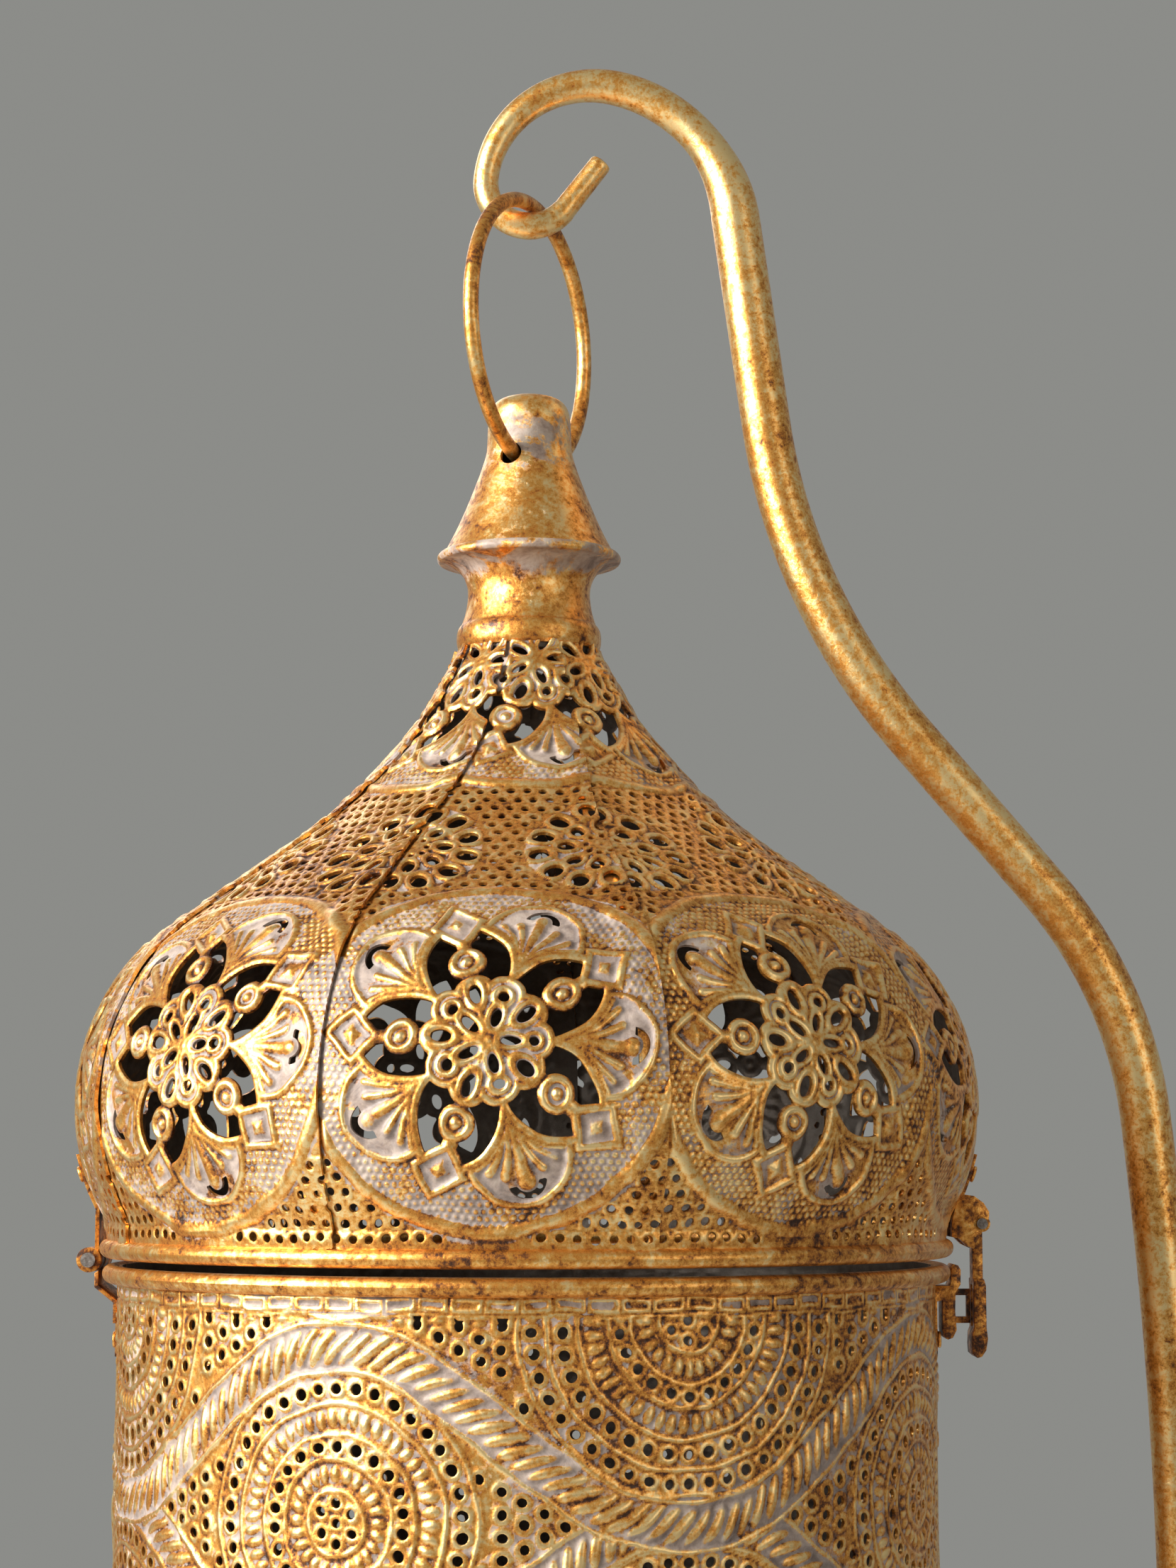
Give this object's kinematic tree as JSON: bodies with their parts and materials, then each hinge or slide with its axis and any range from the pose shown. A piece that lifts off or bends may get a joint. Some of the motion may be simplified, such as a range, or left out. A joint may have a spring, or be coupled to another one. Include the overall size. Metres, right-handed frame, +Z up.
{
  "type": "lantern floor lamp",
  "caption": "Pierced candle lantern hanging by a ring from the hook of a bent floor stand, with a hinged dome lid, a hasp and a spiked drip tray.",
  "frame": {"origin": "middle of the base plate, on the floor", "axes": "+Z up, +X from the lantern towards the pole, -Y the front"},
  "size_m": [0.3958, 0.32, 1.4478],
  "materials": {
    "antique_gold": "antique gold, worn, brown in the recesses",
    "embossed_gold": "embossed sheet, antique gold with a pale patina",
    "base_iron": "cast, antique gold",
    "steel": "plain steel",
    "tin": "bare grey tin",
    "felt": "dark felt",
    "wax": "ivory wax",
    "cotton": "cotton wick"
  },
  "bodies": {
    "stand": {"base_plate": "base_iron", "felt_pad": "felt", "pole_collar": "antique_gold", "pole_plug": "steel", "base_bolt": "steel", "base_washer": "steel", "lower_pole": "antique_gold", "joint_spigot": "steel", "joint_ferrule": "antique_gold", "ferrule_screws": "steel", "crook": "antique_gold", "hook": "antique_gold"},
    "ring": {"hanging_ring": "antique_gold"},
    "lid": {"cap": "embossed_gold", "collar": "embossed_gold", "crown_ring": "tin", "dome_gore_1": "embossed_gold", "dome_gore_2": "embossed_gold", "dome_gore_3": "embossed_gold", "dome_gore_4": "embossed_gold", "dome_gore_5": "embossed_gold", "dome_gore_6": "embossed_gold", "dome_gore_7": "embossed_gold", "dome_gore_8": "embossed_gold", "dome_gore_9": "embossed_gold", "dome_rim": "antique_gold", "lid_hinge_leaf": "antique_gold", "hinge_pin": "steel", "hasp_bracket": "antique_gold", "hasp_pin": "steel", "lid_rivets": "antique_gold"},
    "hasp": {"hasp": "antique_gold"},
    "drum": {"drum_rim": "antique_gold", "drum_sheet_front": "embossed_gold", "drum_sheet_rear": "embossed_gold", "seam_strips": "tin", "seam_rivets": "antique_gold", "drum_hinge_leaf": "antique_gold", "hasp_staple": "antique_gold", "drum_rivets": "antique_gold", "foot_ring": "antique_gold", "floor_pan": "tin", "candle_tray": "antique_gold", "candle_spike": "steel", "candle": "wax", "wick": "cotton"}
  },
  "joints": [
    {"name": "ring_swing", "type": "hinge", "parent": "stand", "child": "ring", "pos_m": [-0.0924, 0, 1.39436], "axis": [1, 0, 0], "range_deg": [-20, 20]},
    {"name": "lantern_tilt", "type": "hinge", "parent": "ring", "child": "lid", "pos_m": [-0.0924, 0, 1.31562], "axis": [0.4067, 0.9135, 0], "range_deg": [-6, 6]},
    {"name": "drum_opening", "type": "hinge", "parent": "lid", "child": "drum", "pos_m": [-0.2302, 0, 1.0561], "axis": [0, 1, 0], "range_deg": [0, 100]},
    {"name": "hasp_swing", "type": "hinge", "parent": "lid", "child": "hasp", "pos_m": [0.0514, 0, 1.0673], "axis": [0, -1, 0], "range_deg": [-8, 100]}
  ]
}
